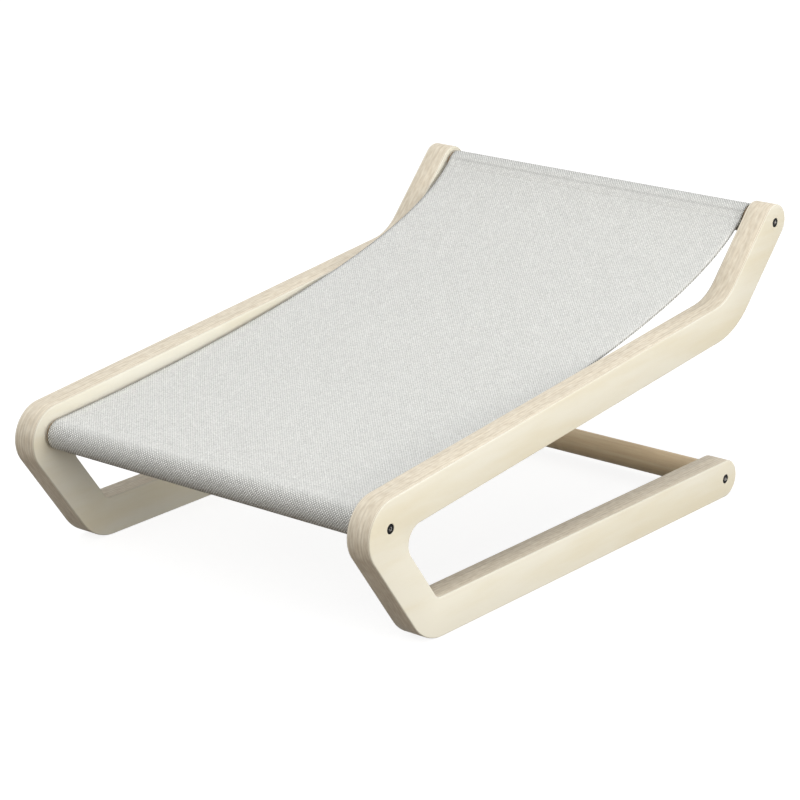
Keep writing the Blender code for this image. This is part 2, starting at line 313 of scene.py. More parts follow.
# %% Grain group
def grain_group():
    """Streaks that are long in the first direction of the vector and narrow in the others."""
    inputs = {
        "Vector": (VECTOR, None),
        "Streak Length": (NUMBER, 60 * MM),
        "Streak Width": (NUMBER, 1 * MM),
        "Seed": (NUMBER, 0.0),
    }
    outputs = {"Streak": NUMBER, "Pore": NUMBER}
    tree, graph, given, end = new_group("ShaderNodeTree", "wood_grain", inputs, outputs)
    along, across, depth = graph.split(given["Vector"])
    seed = given["Seed"]
    cell = graph.vector(
        along / given["Streak Length"] + seed,
        across / given["Streak Width"],
        depth / given["Streak Width"] + seed,
    )
    streak = graph.noise(cell, detail=4.0, roughness=0.6)
    fine = graph.noise(graph.vector_math("MULTIPLY", cell, (5.0, 3.0, 3.0)), detail=1.0)
    give_out(graph, end, {"Streak": streak, "Pore": graph.smooth(fine, 0.60, 0.72)})
    return tree


wood_grain = grain_group()


def grained(graph, vector, length, width, seed=0.0):
    """The grain group in a material, by its streaks' length and width."""
    return graph.use(wood_grain, {"Vector": vector, "Streak Length": length, "Streak Width": width,
                                  "Seed": seed})


# %% Handling group
def handling_group():
    """Faint smudges and specks that handling leaves, which change how a finish shines."""
    inputs = {"Vector": (VECTOR, None), "Smudge Size": (NUMBER, 30 * MM), "Seed": (NUMBER, 0.0)}
    outputs = {"Smudge": NUMBER, "Speck": NUMBER}
    tree, graph, given, end = new_group("ShaderNodeTree", "handling_marks", inputs, outputs)
    x, y, z = graph.split(given["Vector"])
    size, seed = given["Smudge Size"], given["Seed"]
    cell = graph.vector(x / size + seed, y / size, z / size)
    smudge = graph.noise(cell, detail=3.0, roughness=0.55)
    speck = graph.noise(graph.vector_math("MULTIPLY", cell, (24.0, 24.0, 24.0)), detail=0.0)
    give_out(graph, end, {"Smudge": graph.smooth(smudge, 0.30, 0.70),
                          "Speck": graph.smooth(speck, 0.70, 0.80)})
    return tree


handling_marks = handling_group()


def handled(graph, vector, size, seed=0.0):
    """The handling group in a material, by its smudges' size."""
    return graph.use(handling_marks, {"Vector": vector, "Smudge Size": size, "Seed": seed})


# %% [markdown]
# The sling is a plain weave: each yarn passes over one crossing yarn and under the next, so the crowns
# of the yarns form a chequerboard. In the photograph the crowns merge into near-vertical lines on the
# lying surface and into lines that lean to the right on the front roll. The direction and spacing of
# both come out right for a yarn about every 1.4 mm, with a light warp that stands a little proud of a
# darker weft. The group gives the height of the higher yarn at each point, without and with that, and
# which set of yarns it is from. It also gives each crown a chance tone, and a fine unevenness of the
# fibres.


# %% Weave group
def weave_group():
    """A plain weave on a vector whose first two numbers are distances on the flat cloth."""
    inputs = {
        "Vector": (VECTOR, None),
        "Warp Pitch": (NUMBER, 1.33 * MM),
        "Weft Pitch": (NUMBER, 1.41 * MM),
        "Yarn Roundness": (NUMBER, 0.5),
        "Warp Lift": (NUMBER, 0.8),
        "Seed": (NUMBER, 0.0),
    }
    outputs = dict.fromkeys(("Height", "Relief", "Warp On Top", "Crown Tone", "Fibre"), NUMBER)
    tree, graph, given, end = new_group("ShaderNodeTree", "plain_weave", inputs, outputs)
    u, v, _ = graph.split(given["Vector"])
    seed, roundness = given["Seed"], given["Yarn Roundness"]
    across, along = u / given["Warp Pitch"], v / given["Weft Pitch"]
    warp, weft = graph.math("FLOOR", across), graph.math("FLOOR", along)

    def yarn(place, number, other_place, sense):
        """The height of one set of yarns: round across, and over and under the other set."""
        sign = 1 - 2 * graph.math("FLOORED_MODULO", number, 2.0)
        inside = place - number
        rise = graph.math("SINE", other_place * math.pi) * sign * sense
        return roundness * 4 * inside * (1 - inside) + (1 - roundness) * rise

    warp_height = yarn(across, warp, along, 1.0)
    weft_height = yarn(along, weft, across, -1.0)
    proud = graph.smooth(warp_height - weft_height, -0.5, 0.5) * given["Warp Lift"]
    crown = graph.vector(warp + seed, weft, seed)
    crown_tone = graph.wire("ShaderNodeTexWhiteNoise", {"Vector": crown}, noise_dimensions="3D")
    fibre = graph.noise(graph.vector(across * 3.1, along * 3.1, seed), detail=1.0)
    height = graph.math("MAXIMUM", warp_height, weft_height)
    on_top = graph.smooth(warp_height - weft_height, -0.1, 0.1)
    give_out(graph, end, {"Height": height, "Relief": height + proud, "Warp On Top": on_top,
                          "Crown Tone": crown_tone, "Fibre": fibre})
    return tree


plain_weave = weave_group()


# %% A material and its shader
def new_material(name, **constants):
    """A material, its graph and its Principled BSDF, whose constant sockets are set directly."""
    material = bpy.data.materials.new(name)
    material.use_nodes = True
    graph = Graph(material.node_tree)
    shader = material.node_tree.nodes["Principled BSDF"]
    for label, value in constants.items():
        shader.inputs[label.replace("_", " ")].default_value = value
    return material, graph, shader


def cover(graph, shader, colour, roughness, height):
    """Joins a finish to its shader. The height, in metres, bends the light on the surface."""
    graph.feed(shader.inputs["Base Color"], colour)
    graph.feed(shader.inputs["Roughness"], roughness)
    node = graph.put("ShaderNodeBump", {"Strength": 1.0, "Distance": 1.0, "Height": height})
    graph.feed(shader.inputs["Normal"], Wire(graph, node.outputs["Normal"]))


def object_place(graph):
    return Wire(graph, graph.put("ShaderNodeTexCoord").outputs["Object"])


def own_map(graph, name):
    return graph.wire("ShaderNodeUVMap", uv_map=name)


# %% [markdown]
# ## Birch plywood
#
# The side frames are cut from one 24 mm board. Their broad faces show the cream face veneer, nearly
# plain. Their narrow edges show the stack of veneers. The grain of each veneer is square to that of the
# next, so where one shows long fibres its neighbour shows end grain, which is darker. Which is which
# changes round the bends, and the shader reads it from the surface's own direction. In the photograph
# only the outermost veneers and their glue lines are clear, and the core between them is mottled.

# %% Plywood
face_veneer = 0.9 * MM
core_veneer = 1.48 * MM
glue_line = 0.12 * MM
waver_length, waver_depth, waver_height = 40 * MM, 5 * MM, 0.5 * MM
blotch_length, blotch_depth = 9 * MM, 3 * MM
FACE_CREAM = (0.79, 0.77, 0.68, 1)
FACE_HONEY = (0.745, 0.70, 0.565, 1)
LONG_GRAIN = (0.85, 0.79, 0.665, 1)
END_GRAIN = (0.54, 0.455, 0.34, 1)
GLUE_BROWN = (0.40, 0.31, 0.22, 1)


def plywood():
    material, graph, shader = new_material("birch_plywood", Specular_IOR_Level=0.15, Coat_Weight=0.03,
                                           Coat_Roughness=0.4)
    place = object_place(graph)
    x, y, z = graph.split(place)
    along, across, _ = graph.split(own_map(graph, "board"))
    side = graph.math("SIGN", x)
    depth = outer_face - graph.math("ABSOLUTE", x)
    waver = graph.noise(graph.vector(along / waver_length, depth / waver_depth, side), detail=2.0)
    ply = (depth + waver_height * (waver - 0.5) - face_veneer) / core_veneer
    number = graph.math("FLOOR", ply) + 1
    inside = graph.math("FRACT", ply)
    from_glue = graph.math("MINIMUM", inside, 1 - inside) * core_veneer
    from_face = graph.math("MINIMUM", depth, board_thickness - depth)
    in_face = graph.math("LESS_THAN", from_face, face_veneer)
    in_core = graph.smooth(from_face, face_veneer + 0.9 * core_veneer, face_veneer + 1.1 * core_veneer)
    crosses = graph.math("FLOORED_MODULO", number, 2.0) * (1 - in_face)

    normal = graph.put("ShaderNodeNewGeometry").outputs["Normal"]
    n_x, n_y, n_z = graph.split(Wire(graph, normal))
    end_share = n_y * n_y / (n_y * n_y + n_z * n_z + 0.0001)
    end_grain = crosses + (1 - 2 * crosses) * end_share
    blotch_place = graph.vector(along / blotch_length, depth / blotch_depth, side * 4.0)
    blotch = graph.noise(blotch_place, detail=3.0)
    seen_grain = end_grain * (0.30 - 0.12 * in_core) + in_core * (1.1 * blotch - 0.15)

    on_edge = graph.vector(along, across, side)
    fine = grained(graph, on_edge, 26 * MM, 0.7 * MM)
    broad = grained(graph, on_edge, 75 * MM, 2.8 * MM, 21.0)
    own_tone = graph.wire("ShaderNodeTexWhiteNoise", {"W": number + side * 31.5}, noise_dimensions="1D")
    edge = graph.mix(graph.smooth(seen_grain, -0.2, 1.2), LONG_GRAIN, END_GRAIN)
    edge = graph.shade(edge, 0.68 + 0.04 * own_tone + 0.18 * fine["Streak"] + 0.40 * broad["Streak"])
    line = glue_line * (3 - 2 * in_core)
    glue = graph.smooth(from_glue, line, 0.3 * line) * (0.75 - 0.6 * in_core)
    edge = graph.mix(glue, edge, GLUE_BROWN)

    grain_place = graph.vector(y, z, side)
    figure = grained(graph, grain_place, 260 * MM, 45 * MM, 8.0)
    fleck = grained(graph, grain_place, 22 * MM, 0.9 * MM, 7.0)
    marks = handled(graph, place, 45 * MM)
    face = graph.mix(graph.smooth(figure["Streak"], 0.40, 0.70), FACE_CREAM, FACE_HONEY)
    face = graph.shade(face, 0.985 + 0.02 * fleck["Streak"] + 0.01 * marks["Smudge"])
    face = graph.shade(face, 1 - 0.02 * fleck["Pore"])

    facing = graph.math("ABSOLUTE", n_x)
    # Painted shade: the rounded arris is darkened a little, which tones down the highlight it catches.
    arris_painted_shade = graph.smooth(facing, 0.1, 0.5) * graph.smooth(facing, 0.98, 0.8)
    face = graph.shade(face, 1 - 0.09 * arris_painted_shade)
    flat = graph.smooth(facing, 0.35, 0.8)
    on_face = graph.math("MAXIMUM", in_face, flat)
    roughness = 0.56 - 0.10 * marks["Smudge"] + 0.10 * end_grain * (1 - on_face)
    relief = fine["Streak"] * 0.06 * MM + graph.smooth(from_glue, 0.0, 0.2 * MM) * 0.02 * MM
    relief = relief * (1 - on_face) + fleck["Streak"] * 0.01 * MM - fleck["Pore"] * 0.01 * MM
    cover(graph, shader, graph.mix(on_face, edge, face), roughness, relief)
    return material


birch_plywood = plywood()

# %% [markdown]
# ## The side frame's outline
#
# The outline is a strip that turns at three bends and has two round ends. It is written the way a
# joiner would draw it: straight lines at known angles, and an arc of known radius where two lines meet.

# %% Lines and arcs
OUTLINE_STEP = math.radians(2.5)


def direction(angle):
    """The unit vector at an angle, in the side plane: first coordinate along Y, second along Z."""
    return Vector((math.cos(angle), math.sin(angle)))


def left_of(vector):
    return Vector((-vector.y, vector.x))


def angle_of(vector):
    return math.atan2(vector.y, vector.x)


class Line:
    """A directed straight edge of an outline that is walked with the wood on its left."""

    def __init__(self, point, angle):
        self.point = point
        self.angle = angle

    def moved_left(self, distance):
        return Line(self.point + left_of(direction(self.angle)) * distance, self.angle)

    def turned_back(self):
        return Line(self.point, self.angle + math.pi)

    def meet(self, other):
        along, across = direction(self.angle), left_of(direction(other.angle))
        reach = (other.point - self.point).dot(across) / along.dot(across)
        return self.point + along * reach


class Arc:
    """A round stretch of an outline. A hollow one has its centre outside the wood."""

    def __init__(self, centre, radius, start, turn):
        self.centre = centre
        self.radius = radius
        self.start = start
        self.turn = turn

    def points(self, inset=0.0, step=OUTLINE_STEP):
        radius = self.radius - math.copysign(inset, self.turn)
        steps = max(2, math.ceil(abs(self.turn) / step))
        angles = [self.start + self.turn * i / steps for i in range(steps + 1)]
        return [self.centre + direction(angle) * radius for angle in angles]


def corner(line, following, radius):
    """The arc that joins two lines of an outline."""
    turn = (following.angle - line.angle + math.pi) % math.tau - math.pi
    side = math.copysign(1, turn)
    centre = line.moved_left(side * radius).meet(following.moved_left(side * radius))
    return Arc(centre, radius, line.angle - side * math.pi / 2, turn)


def round_end(centre, radius, angle):
    """The half circle at the end of a strip that runs at this angle."""
    return Arc(centre, radius, angle - math.pi / 2, math.pi)


# %% The outline's round stretches
def frame_arcs():
    """The round stretches of the side frame, in order. Straight edges run from each to the next."""
    bend = Vector((-overall_depth / 2 + front_bend_radius, front_bend_height))
    rail_top = Line(bend, math.pi + rail_slope).moved_left(-front_bend_radius)
    riser_front = Line(bend, -riser_angle).moved_left(-front_bend_radius)
    riser_inside = riser_front.moved_left(strip_width).turned_back()
    rail_under = rail_top.moved_left(strip_width).turned_back()
    head, rear = bar_centres["head"], bar_centres["rear"]
    head_back = Line(head, head_bar_angle).moved_left(-strip_width / 2)
    head_front = Line(head, math.pi + head_bar_angle).moved_left(-strip_width / 2)
    foot_bottom = Line(Vector((0, 0)), 0)
    foot_top = Line(Vector((0, foot_rail_height)), math.pi)
    return [
        round_end(rear, foot_rail_height / 2, 0),
        corner(foot_top, riser_inside, opening_bottom_radius),
        corner(riser_inside, rail_under, opening_front_radius),
        corner(rail_under, head_back, head_bend_under_radius),
        round_end(head, strip_width / 2, head_bar_angle),
        corner(head_front, rail_top, head_bend_top_radius),
        corner(rail_top, riser_front, front_bend_radius),
        corner(riser_front, foot_bottom, bottom_bend_radius),
    ]


outline_arcs = frame_arcs()
print("outline length", round(sum(arc.radius * abs(arc.turn) for arc in outline_arcs), 3), "m in bends")

# %% [markdown]
# ## The boards
#
# A board is the outline repeated at several depths. The first and last few copies step inwards on a
# quarter circle, which rounds the edges over by 1.2 mm. The edge's own map stores how far along the
# outline and how deep in the board each point lies, so that the streaks follow the bends. The holes for
# the screws are rings in the flat faces and walls between them, so no Boolean is needed.

# %% Build one board
ROUNDING_STEPS = 4
HOLE_SIDES = 48
hole_rim = 0.2 * MM
head_clearance = 0.12 * MM
SHARP_ANGLE = math.radians(30)


def link(name, mesh):
    obj = bpy.data.objects.new(name, mesh)
    scene.collection.objects.link(obj)
    return obj


def object_from(bm, name, material):
    """The bmesh as a named object with its faces outwards, smooth but for its sharp edges."""
    bmesh.ops.recalc_face_normals(bm, faces=bm.faces)
    mesh = bpy.data.meshes.new(name)
    bm.to_mesh(mesh)
    bm.free()
    mesh.set_sharp_from_angle(angle=SHARP_ANGLE)
    mesh.materials.append(material)
    return link(name, mesh)


def join_loops(bm, first, second, smooth=True):
    count = len(first)
    faces = []
    for i in range(count):
        j = (i + 1) % count
        faces.append(bm.faces.new((first[i], first[j], second[j], second[i])))
        faces[-1].smooth = smooth
    return faces


def cap(bm, loops):
    """Closes a flat face bounded by these loops, the first of them outside and the others holes."""
    edges = [bm.edges.get((loop[i], loop[i - 1])) for loop in loops for i in range(len(loop))]
    return [f for f in bmesh.ops.triangle_fill(bm, use_beauty=True, edges=edges)["geom"]
            if isinstance(f, bmesh.types.BMFace)]


def outline_at(inset):
    return [point for arc in outline_arcs for point in arc.points(inset)]


def ring(bm, x, centre, radius, sides=HOLE_SIDES):
    turns = [math.tau * i / sides for i in range(sides)]
    return [bm.verts.new((x, centre.x + radius * math.cos(turn), centre.y + radius * math.sin(turn)))
            for turn in turns]


def rounded_sections():
    """How deep below the outer face each copy of the outline lies, and how far it is drawn in."""
    quarter = [math.pi / 2 * step / ROUNDING_STEPS for step in range(ROUNDING_STEPS + 1)]
    near = [(edge_rounding * (1 - math.cos(a)), edge_rounding * (1 - math.sin(a))) for a in quarter]
    return near + [(board_thickness - into, inset) for into, inset in reversed(near)]


def side_board(side):
    sign = SIDE_SIGNS[side]
    bm = bmesh.new()
    board_map = bm.loops.layers.uv.new("board")
    plain = outline_at(0)
    lengths = [0.0]
    for point, following in zip(plain, plain[1:] + plain[:1]):
        lengths.append(lengths[-1] + (following - point).length)

    sections = []
    for into, inset in rounded_sections():
        x = sign * (outer_face - into)
        sections.append((into, [bm.verts.new((x, p.x, p.y)) for p in outline_at(inset)]))
    for (into, first), (deeper, second) in zip(sections, sections[1:]):
        for i, face in enumerate(join_loops(bm, first, second)):
            spans = (lengths[i], lengths[i + 1], lengths[i + 1], lengths[i])
            for loop, along, depth in zip(face.loops, spans, (into, into, deeper, deeper)):
                loop[board_map].uv = (along, depth)

    wide, narrow = head_diameter / 2 + head_clearance, thread_diameter / 2 + screw_hole_clearance
    floor = head_recess + head_height + touch_gap
    steps = [(0, wide + hole_rim), (hole_rim, wide), (floor, wide), (floor, narrow),
             (board_thickness, narrow)]
    mouths, ends = [], []
    for centre in bar_centres.values():
        rings = [ring(bm, sign * (outer_face - depth), centre, radius) for depth, radius in steps]
        for first, second in zip(rings, rings[1:]):
            join_loops(bm, first, second)
        mouths.append(rings[0])
        ends.append(rings[-1])
    for face in cap(bm, [sections[0][1], *mouths]) + cap(bm, [sections[-1][1], *ends]):
        face.smooth = False
        for loop in face.loops:
            loop[board_map].uv = (loop.vert.co.y, loop.vert.co.z)
    board = object_from(bm, f"{side}_side_frame_board", birch_plywood)
    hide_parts(f"{side}_side_frame")
    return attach(board, "root")


boards = [side_board(side) for side in SIDE_SIGNS]
print("boards", [len(board.data.polygons) for board in boards], "faces")

# %% [markdown]
# ## The bars
#
# The three bars are turned birch, a little warmer and darker than the board's face. The rear one shows
# whole. The front and head bars lie in the sling's sleeves and show only in the narrow gaps beside them,
# but they are whole too, with the bores in their ends for the inserts and screws, because a part is
# looked at from every side. Beside the sleeves these two are painted dark brown: painted shade for the
# shadow in the narrow gap between the cloth and the frame. That the cut ends of the cloth rub on them is
# a guess.

# %% Turned birch
BAR_LIGHT = (0.95, 0.79, 0.55, 1)
BAR_DARK = (0.84, 0.65, 0.42, 1)
GAP_SHADE_BROWN = (0.17, 0.11, 0.065, 1)
sleeve_bar_height = 60 * MM


def turned_birch():
    material, graph, shader = new_material("turned_birch", Specular_IOR_Level=0.15, Coat_Weight=0.03,
                                           Coat_Roughness=0.45)
    place = object_place(graph)
    broad = grained(graph, place, 160 * MM, 5 * MM, 11.0)
    fine = grained(graph, place, 30 * MM, 0.8 * MM, 17.0)
    marks = handled(graph, place, 25 * MM, 5.0)
    tone = graph.smooth(0.65 * broad["Streak"] + 0.35 * fine["Streak"], 0.36, 0.64)
    colour = graph.shade(graph.mix(tone, BAR_DARK, BAR_LIGHT), 1 - 0.10 * fine["Pore"])
    x, _, z = graph.split(place)
    # Painted shade: beside the sleeves the front and head bars turn dark brown, for the shadow in the gap
    # there.
    beside_sleeve = graph.smooth(graph.math("ABSOLUTE", x), cloth_reach - 3 * MM, cloth_reach)
    gap_painted_shade = beside_sleeve * graph.math("GREATER_THAN", z, sleeve_bar_height)
    colour = graph.mix(gap_painted_shade * (0.75 + 0.25 * fine["Streak"]), colour, GAP_SHADE_BROWN)
    relief = fine["Streak"] * 0.05 * MM - fine["Pore"] * 0.03 * MM
    cover(graph, shader, colour, 0.60 - 0.10 * marks["Smudge"], relief)
    return material


birch_bar = turned_birch()

# %% Build the bars
BAR_SIDES = 96


def add_turned(bm, rings, sides, at):
    """Adds rings about the X axis, as (x, radius, hexagonal), and joins them. Radius 0 is a point."""
    made = []
    for x, radius, hexagonal in rings:
        if radius == 0:
            made.append([bm.verts.new(at(x, 0, 0))])
            continue
        verts = []
        for i in range(sides):
            angle = math.tau * i / sides
            reach = radius / math.cos(angle % (math.pi / 3) - math.pi / 6) if hexagonal else radius
            verts.append(bm.verts.new(at(x, reach * math.cos(angle), reach * math.sin(angle))))
        made.append(verts)
    for first, second in zip(made, made[1:]):
        if len(first) > 1 and len(second) > 1:
            join_loops(bm, first, second)
            continue
        tip, rim = (first[0], second) if len(first) == 1 else (second[0], first)
        for i in range(sides):
            bm.faces.new((tip, rim[i], rim[(i + 1) % sides])).smooth = True
    return made


def bar(place):
    """A round bar between the side frames, bored at each end for its insert and screw tip."""
    bm = bmesh.new()
    centre = bar_centres[place]
    radius = bar_diameter / 2
    insert_bore = insert_diameter / 2 + touch_gap
    tip_bore = thread_diameter / 2 + screw_hole_clearance
    insert_floor = bar_reach - insert_length - 2 * touch_gap
    tip = outer_face - head_recess - head_height - screw_length
    tip_floor = min(tip, insert_floor) - screw_tip_clearance
    half = [
        (tip_floor, 0, False),
        (tip_floor, tip_bore, False),
        (insert_floor, tip_bore, False),
        (insert_floor, insert_bore, False),
        (bar_reach, insert_bore, False),
        (bar_reach, radius - bar_chamfer, False),
        (bar_reach - bar_chamfer, radius, False),
    ]
    rings = half + [(-x, r, hexagonal) for x, r, hexagonal in reversed(half)]
    add_turned(bm, rings, BAR_SIDES, lambda x, y, z: (x, centre.x + y, centre.y + z))
    made = object_from(bm, f"{place}_bar", birch_bar)
    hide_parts(BAR_NODES[place])
    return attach(made, "root")


bars = {place: bar(place) for place in bar_centres}
print("bars", {place: len(made.data.polygons) for place, made in bars.items()}, "faces")

# %% [markdown]
# ## The screws
#
# Six low-head socket screws hold the frame together. One screw is modelled, with its chamfered head and
# its hexagonal socket, and Geometry Nodes places a copy at each bar's end, turned by its own chance
# angle as a fitter would leave it. The copies on the left face the other way.

# %% Black steel
STEEL_BLACK = (0.005, 0.005, 0.006, 1)
STEEL_RUBBED = (0.55, 0.54, 0.53, 1)


def black_steel():
    material, graph, shader = new_material("black_oxide_steel", Metallic=0.9, Specular_IOR_Level=0.2)
    place = object_place(graph)
    marks = handled(graph, place, 2.5 * MM, 2.0)
    rubbed = graph.wire("ShaderNodeAttribute", output=2, attribute_name="rubbed")
    rubbed = graph.smooth(rubbed * (0.6 + 0.8 * marks["Smudge"]), 0.45, 1.0)
    colour = graph.mix(rubbed, STEEL_BLACK, STEEL_RUBBED)
    roughness = 0.46 - 0.14 * rubbed + 0.10 * marks["Smudge"]
    cover(graph, shader, colour, roughness, marks["Speck"] * 0.01 * MM)
    return material


oxide_steel = black_steel()

# %% One screw
SCREW_SIDES = 48
head_chamfer = 0.4 * MM
socket_chamfer = 0.2 * MM
socket_drill_point = 0.6 * MM
screw_tip_chamfer = 0.8 * MM


def screw_pattern():
    """One screw along -X, its origin in the outer face of the board. Rubbed edges are marked."""
    bm = bmesh.new()
    rubbed = bm.verts.layers.float.new("rubbed")
    top, radius, shank = head_recess, head_diameter / 2, thread_diameter / 2
    under = top + head_height
    tip = under + screw_length
    flat = socket_across_flats / 2
    rings = [
        (top + socket_depth + socket_drill_point, 0, False),
        (top + socket_depth, flat * 0.93, False),
        (top + socket_depth, flat, True),
        (top + socket_chamfer, flat, True),
        (top, flat + socket_chamfer, True),
        (top, flat + 2 * socket_chamfer, False),
        (top, radius - 1.4 * head_chamfer, False),
        (top, radius - head_chamfer, False),
        (top + 0.3 * head_chamfer, radius - 0.3 * head_chamfer, False),
        (top + head_chamfer, radius, False),
        (under, radius, False),
        (under, shank, False),
        (tip - screw_tip_chamfer, shank, False),
        (tip, shank - screw_tip_chamfer, False),
        (tip, 0, False),
    ]
    # How rubbed each ring is, by its place in the list: the socket, its rim and the head's chamfer
    wear = {0: 1.0, 1: 1.0, 2: 1.0, 3: 1.0, 4: 0.6, 8: 0.3}
    made = add_turned(bm, rings, SCREW_SIDES, lambda depth, y, z: (-depth, y, z))
    for number, share in wear.items():
        for vert in made[number]:
            vert[rubbed] = share
    return object_from(bm, "screw_pattern", oxide_steel)


# %% Place the six screws
def grown(host, tree, name, inputs):
    """What a Geometry Nodes tree makes of the host, as a plain mesh. The host itself is removed."""
    modifier = host.modifiers.new(name, "NODES")
    modifier.node_group = tree
    for item in tree.interface.items_tree:
        if item.item_type == "SOCKET" and item.in_out == "INPUT" and item.name in inputs:
            modifier[item.identifier] = inputs[item.name]
    graph = bpy.context.evaluated_depsgraph_get()
    mesh = bpy.data.meshes.new_from_object(
        host.evaluated_get(graph), preserve_all_data_layers=True, depsgraph=graph
    )
    bpy.data.objects.remove(host)
    mesh.name = name
    return link(name, mesh)


def screw_tree():
    inputs = {
        "Geometry": (SHAPE, None),
        "Screw": ("NodeSocketObject", None),
        "Steel": ("NodeSocketMaterial", None),
        "Seed": ("NodeSocketInt", 4),
    }
    tree, graph, given, end = new_group("GeometryNodeTree", "screws_at_the_bar_ends", inputs,
                                        {"Geometry": SHAPE})
    pattern = graph.wire("GeometryNodeObjectInfo", {"Object": given["Screw"]}, output=4)
    x, _, _ = graph.split(graph.wire("GeometryNodeInputPosition"))
    on_left = graph.math("LESS_THAN", x, 0.0)
    chance = graph.wire("FunctionNodeRandomValue", {2: 0.0, 3: math.tau, "Seed": given["Seed"]}, output=1)
    turned = graph.wire("FunctionNodeEulerToRotation", {0: graph.vector(chance, 0.0, on_left * math.pi)})
    copies = graph.wire("GeometryNodeInstanceOnPoints", {"Points": given["Geometry"], "Instance": pattern,
                                                         "Rotation": turned})
    graph.feed(end.inputs[0], finished(graph, copies, given["Steel"]))
    return tree


def place_screws():
    places = [(sign * outer_face, c.x, c.y) for sign in SIDE_SIGNS.values() for c in bar_centres.values()]
    mesh = bpy.data.meshes.new("screw_places")
    mesh.from_pydata(places, [], [])
    host = link("screw_places", mesh)
    pattern = screw_pattern()
    made = grown(host, screw_tree(), "frame_screws", {"Screw": pattern, "Steel": oxide_steel})
    bpy.data.objects.remove(pattern)
    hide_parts(*[f"screw_{side}_{place}" for side in SIDE_SIGNS for place in bar_centres])
    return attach(made, "root")


screws = place_screws()
print("screws", len(screws.data.polygons), "faces")

# %% [markdown]
# The threaded inserts in the bars' ends stay as the CAD made them. They only get their brass: turned,
# so its fine scratches run round the X axis.

# %% Brass inserts
BRASS_BRIGHT = (0.60, 0.40, 0.14, 1)
BRASS_DULL = (0.40, 0.25, 0.085, 1)


def turned_brass():
    material, graph, shader = new_material("turned_brass", Metallic=1.0)
    place = object_place(graph)
    x, _, _ = graph.split(place)
    lathe = graph.noise(graph.vector(x / (0.12 * MM), 0.0, 0.0), detail=2.0)
    marks = handled(graph, place, 4 * MM, 9.0)
    colour = graph.mix(marks["Smudge"], BRASS_BRIGHT, BRASS_DULL)
    cover(graph, shader, colour, 0.26 + 0.20 * marks["Smudge"] + 0.10 * lathe, lathe * 0.01 * MM)
    return material


insert_brass = turned_brass()
inserts = [node for name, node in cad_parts.items() if name.startswith("insert_")]
for insert in inserts:
    insert.material_slots[0].material = insert_brass
print(len(inserts), "inserts in brass")

# %% [markdown]
# ## The cloth's path
#
# Seen from the side, the sling is one long line. It starts at the front hem, runs forward under the
# panel to the seam, goes round the front bar, climbs as the panel to the head bar, goes round that and
# comes back to the head seam and hem. The panel itself is a Bezier curve between its two tangents, and
# its slopes and pulls came from fitting the cloth's two edges in the photograph.

# %% The panel's curve
PANEL_STEPS = 400


class Panel:
    """The middle of the cloth between its two bars, as a curve in the side plane."""

    def __init__(self, front, head):
        wrap = bar_diameter / 2 + touch_gap + cloth_thickness / 2
        slope = angle_of(head - front)
        self.front_slope = slope - front_drop
        self.head_slope = slope + head_rise
        start = front + left_of(direction(self.front_slope)) * wrap
        finish = head + left_of(direction(self.head_slope)) * wrap
        reach = (finish - start).length
        pulls = [
            start,
            start + direction(self.front_slope) * reach * front_pull,
            finish - direction(self.head_slope) * reach * head_pull,
            finish,
        ]
        self.path = [self.bezier(pulls, i / PANEL_STEPS) for i in range(PANEL_STEPS + 1)]
        self.lengths = [0.0]
        for first, second in zip(self.path, self.path[1:]):
            self.lengths.append(self.lengths[-1] + (second - first).length)
        self.length = self.lengths[-1]

    @staticmethod
    def bezier(pulls, t):
        weights = ((1 - t) ** 3, 3 * (1 - t) ** 2 * t, 3 * (1 - t) * t * t, t**3)
        return sum((pull * weight for pull, weight in zip(pulls, weights)), Vector((0, 0)))

    def at(self, distance, height=0.0):
        """The point this far along the panel, and this far above its middle."""
        i = 0
        while i < len(self.lengths) - 2 and self.lengths[i + 1] < distance:
            i += 1
        step = (self.path[i + 1] - self.path[i]).normalized()
        return self.path[i] + step * (distance - self.lengths[i]) + left_of(step) * height


panel = Panel(bar_centres["front"], bar_centres["head"])
print("panel", round(panel.length / MM, 1), "mm between the bars")

# %% Round the bars and back
fold_radius = 1.3 * MM
layer_gap = 0.1 * MM
wrap_step = math.radians(5)
fold_step = math.radians(15)
panel_step = 4 * MM
stitch_step = 0.8 * MM
stitch_zone = 4 * MM


def spaced(start, finish, step):
    count = max(1, math.ceil(abs(finish - start) / step))
    return [start + (finish - start) * i / count for i in range(count + 1)]


def sleeve_path(slope, centre, at_head):
    """The cloth's middle from the panel's end, round the bar, up to the seam and along the hem."""
    side = -1 if at_head else 1
    inside = bar_diameter / 2 + touch_gap
    under = cloth_thickness + layer_gap

    def along(distance, height=0.0):
        return panel.at(panel.length - distance if at_head else distance, height)

    leaves = slope + math.pi / 2
    seam_point = along(seam_reach, -cloth_thickness / 2)
    turn = 2 * (angle_of(seam_point - centre) - leaves) % (side * math.tau)
    round_bar = Arc(centre, inside + cloth_thickness / 2, leaves, turn).points(step=wrap_step)
    inner_end = centre + direction(leaves + turn) * inside
    layer = Line(round_bar[-1], angle_of(seam_point - inner_end))
    hem = Line(along(seam_reach, -under), angle_of(along(seam_reach + stitch_zone) - along(seam_reach)))
    fold = corner(layer, hem, fold_radius).points(step=fold_step)
    straight = [round_bar[-1].lerp(fold[0], share) for share in (0.25, 0.5, 0.75)]
    folded_at = (fold[-1] - along(0)).length
    flap = spaced(folded_at, seam_reach + seam_allowance, stitch_step)[1:]
    return round_bar[1:] + straight + fold + [along(distance, -under) for distance in flap]


def panel_path():
    """The panel's own points, closer together beside the two seams."""
    ends = seam_reach + 2 * stitch_zone
    near = spaced(0, ends, stitch_step)
    middle = spaced(ends, panel.length - ends, panel_step)[1:-1]
    far = [panel.length - distance for distance in reversed(near)]
    return [panel.at(distance) for distance in near + middle + far]


